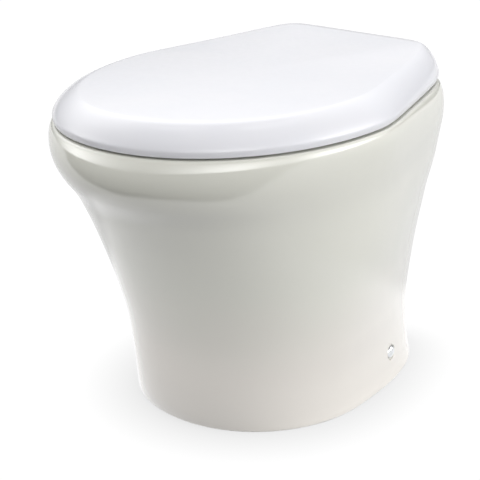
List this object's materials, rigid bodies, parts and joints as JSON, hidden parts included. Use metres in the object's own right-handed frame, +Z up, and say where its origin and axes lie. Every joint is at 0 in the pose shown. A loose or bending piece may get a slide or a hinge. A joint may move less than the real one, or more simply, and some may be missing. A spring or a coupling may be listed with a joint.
{
  "type": "electric marine toilet",
  "caption": "Low floor-standing boat toilet: glazed ceramic bowl, wrap-over lid and seat, macerator pump and rinse water valve in the open rear bay.",
  "frame": {"origin": "on the floor, at the middle of the overall width and length", "axes": "+Z up; -Y towards the front of the bowl; +Y towards the hinges; X is the width, and the outside is symmetric about X = 0"},
  "size_m": [0.367, 0.478, 0.382],
  "materials": {
    "glaze": "glossy bone-white glaze",
    "white_plastic": "gloss white moulding",
    "pale_plastic": "satin pale grey moulding",
    "black_plastic": "satin black moulding",
    "rubber": "matt black rubber",
    "chrome": "polished chrome plate",
    "steel": "stainless steel",
    "painted_metal": "dark grey powder coat",
    "brass": "plain brass"
  },
  "bodies": {
    "base": {"ceramic_pedestal": "glaze", "ceramic_bowl": "glaze", "hinge_post_left": "pale_plastic", "hinge_post_right": "pale_plastic", "hinge_pin_left": "steel", "hinge_pin_right": "steel", "hinge_bolt_left": "steel", "hinge_bolt_right": "steel", "hinge_washer_left": "rubber", "hinge_washer_right": "rubber", "hinge_wing_nut_left": "black_plastic", "hinge_wing_nut_right": "black_plastic", "floor_bracket_left": "steel", "floor_bracket_right": "steel", "floor_screw_left": "steel", "floor_screw_right": "steel", "side_bolt_left": "chrome", "side_bolt_right": "chrome", "side_bush_left": "pale_plastic", "side_bush_right": "pale_plastic", "outlet_boot": "rubber", "boot_clamp_upper": "steel", "boot_clamp_lower": "steel", "pump_volute": "black_plastic", "cutter_plate": "steel", "shaft_seal": "rubber", "pump_back_plate": "painted_metal", "motor_can": "painted_metal", "motor_end_cap": "black_plastic", "pump_cradle": "painted_metal", "motor_strap": "steel", "pump_foot_left": "rubber", "pump_foot_right": "rubber", "discharge_elbow": "black_plastic", "union_nut": "black_plastic", "duckbill_valve": "rubber", "hose_tail": "black_plastic", "water_valve_body": "pale_plastic", "valve_coil": "black_plastic", "valve_spring": "steel", "inlet_strainer": "brass", "valve_bracket": "steel", "breaker_body": "pale_plastic", "breaker_cap": "black_plastic", "rinse_hose_lower": "rubber", "rinse_hose_upper": "rubber", "rinse_spud": "brass"},
    "seat": {"seat": "white_plastic", "seat_bumper_front_left": "rubber", "seat_bumper_front_right": "rubber", "seat_bumper_rear_left": "rubber", "seat_bumper_rear_right": "rubber"},
    "lid": {"lid": "white_plastic", "lid_bumper_left": "rubber", "lid_bumper_right": "rubber"},
    "rotor": {"chopper_blade": "steel", "impeller": "black_plastic", "rotor_shaft": "steel"},
    "plunger": {"valve_plunger": "steel"},
    "float": {"breaker_float": "pale_plastic"}
  },
  "joints": [
    {"name": "seat_hinge", "type": "hinge", "parent": "base", "child": "seat", "pos_m": [0, 0.221, 0.353], "axis": [1, 0, 0], "range_deg": [-92, 0]},
    {"name": "lid_hinge", "type": "hinge", "parent": "seat", "child": "lid", "pos_m": [0, 0.221, 0.353], "axis": [-1, 0, 0], "range_deg": [0, 95]},
    {"name": "rotor_spin", "type": "hinge", "parent": "base", "child": "rotor", "pos_m": [0, 0.1, 0.058], "axis": [0, 1, 0], "continuous": true},
    {"name": "plunger_lift", "type": "slide", "parent": "base", "child": "plunger", "axis": [0, 0, 1], "range_m": [0, 0.003], "stiffness_N_per_m": 400, "springref_m": -0.002, "deforming": ["valve_spring"]},
    {"name": "float_lift", "type": "slide", "parent": "base", "child": "float", "axis": [0, 0, 1], "range_m": [0, 0.007]}
  ]
}
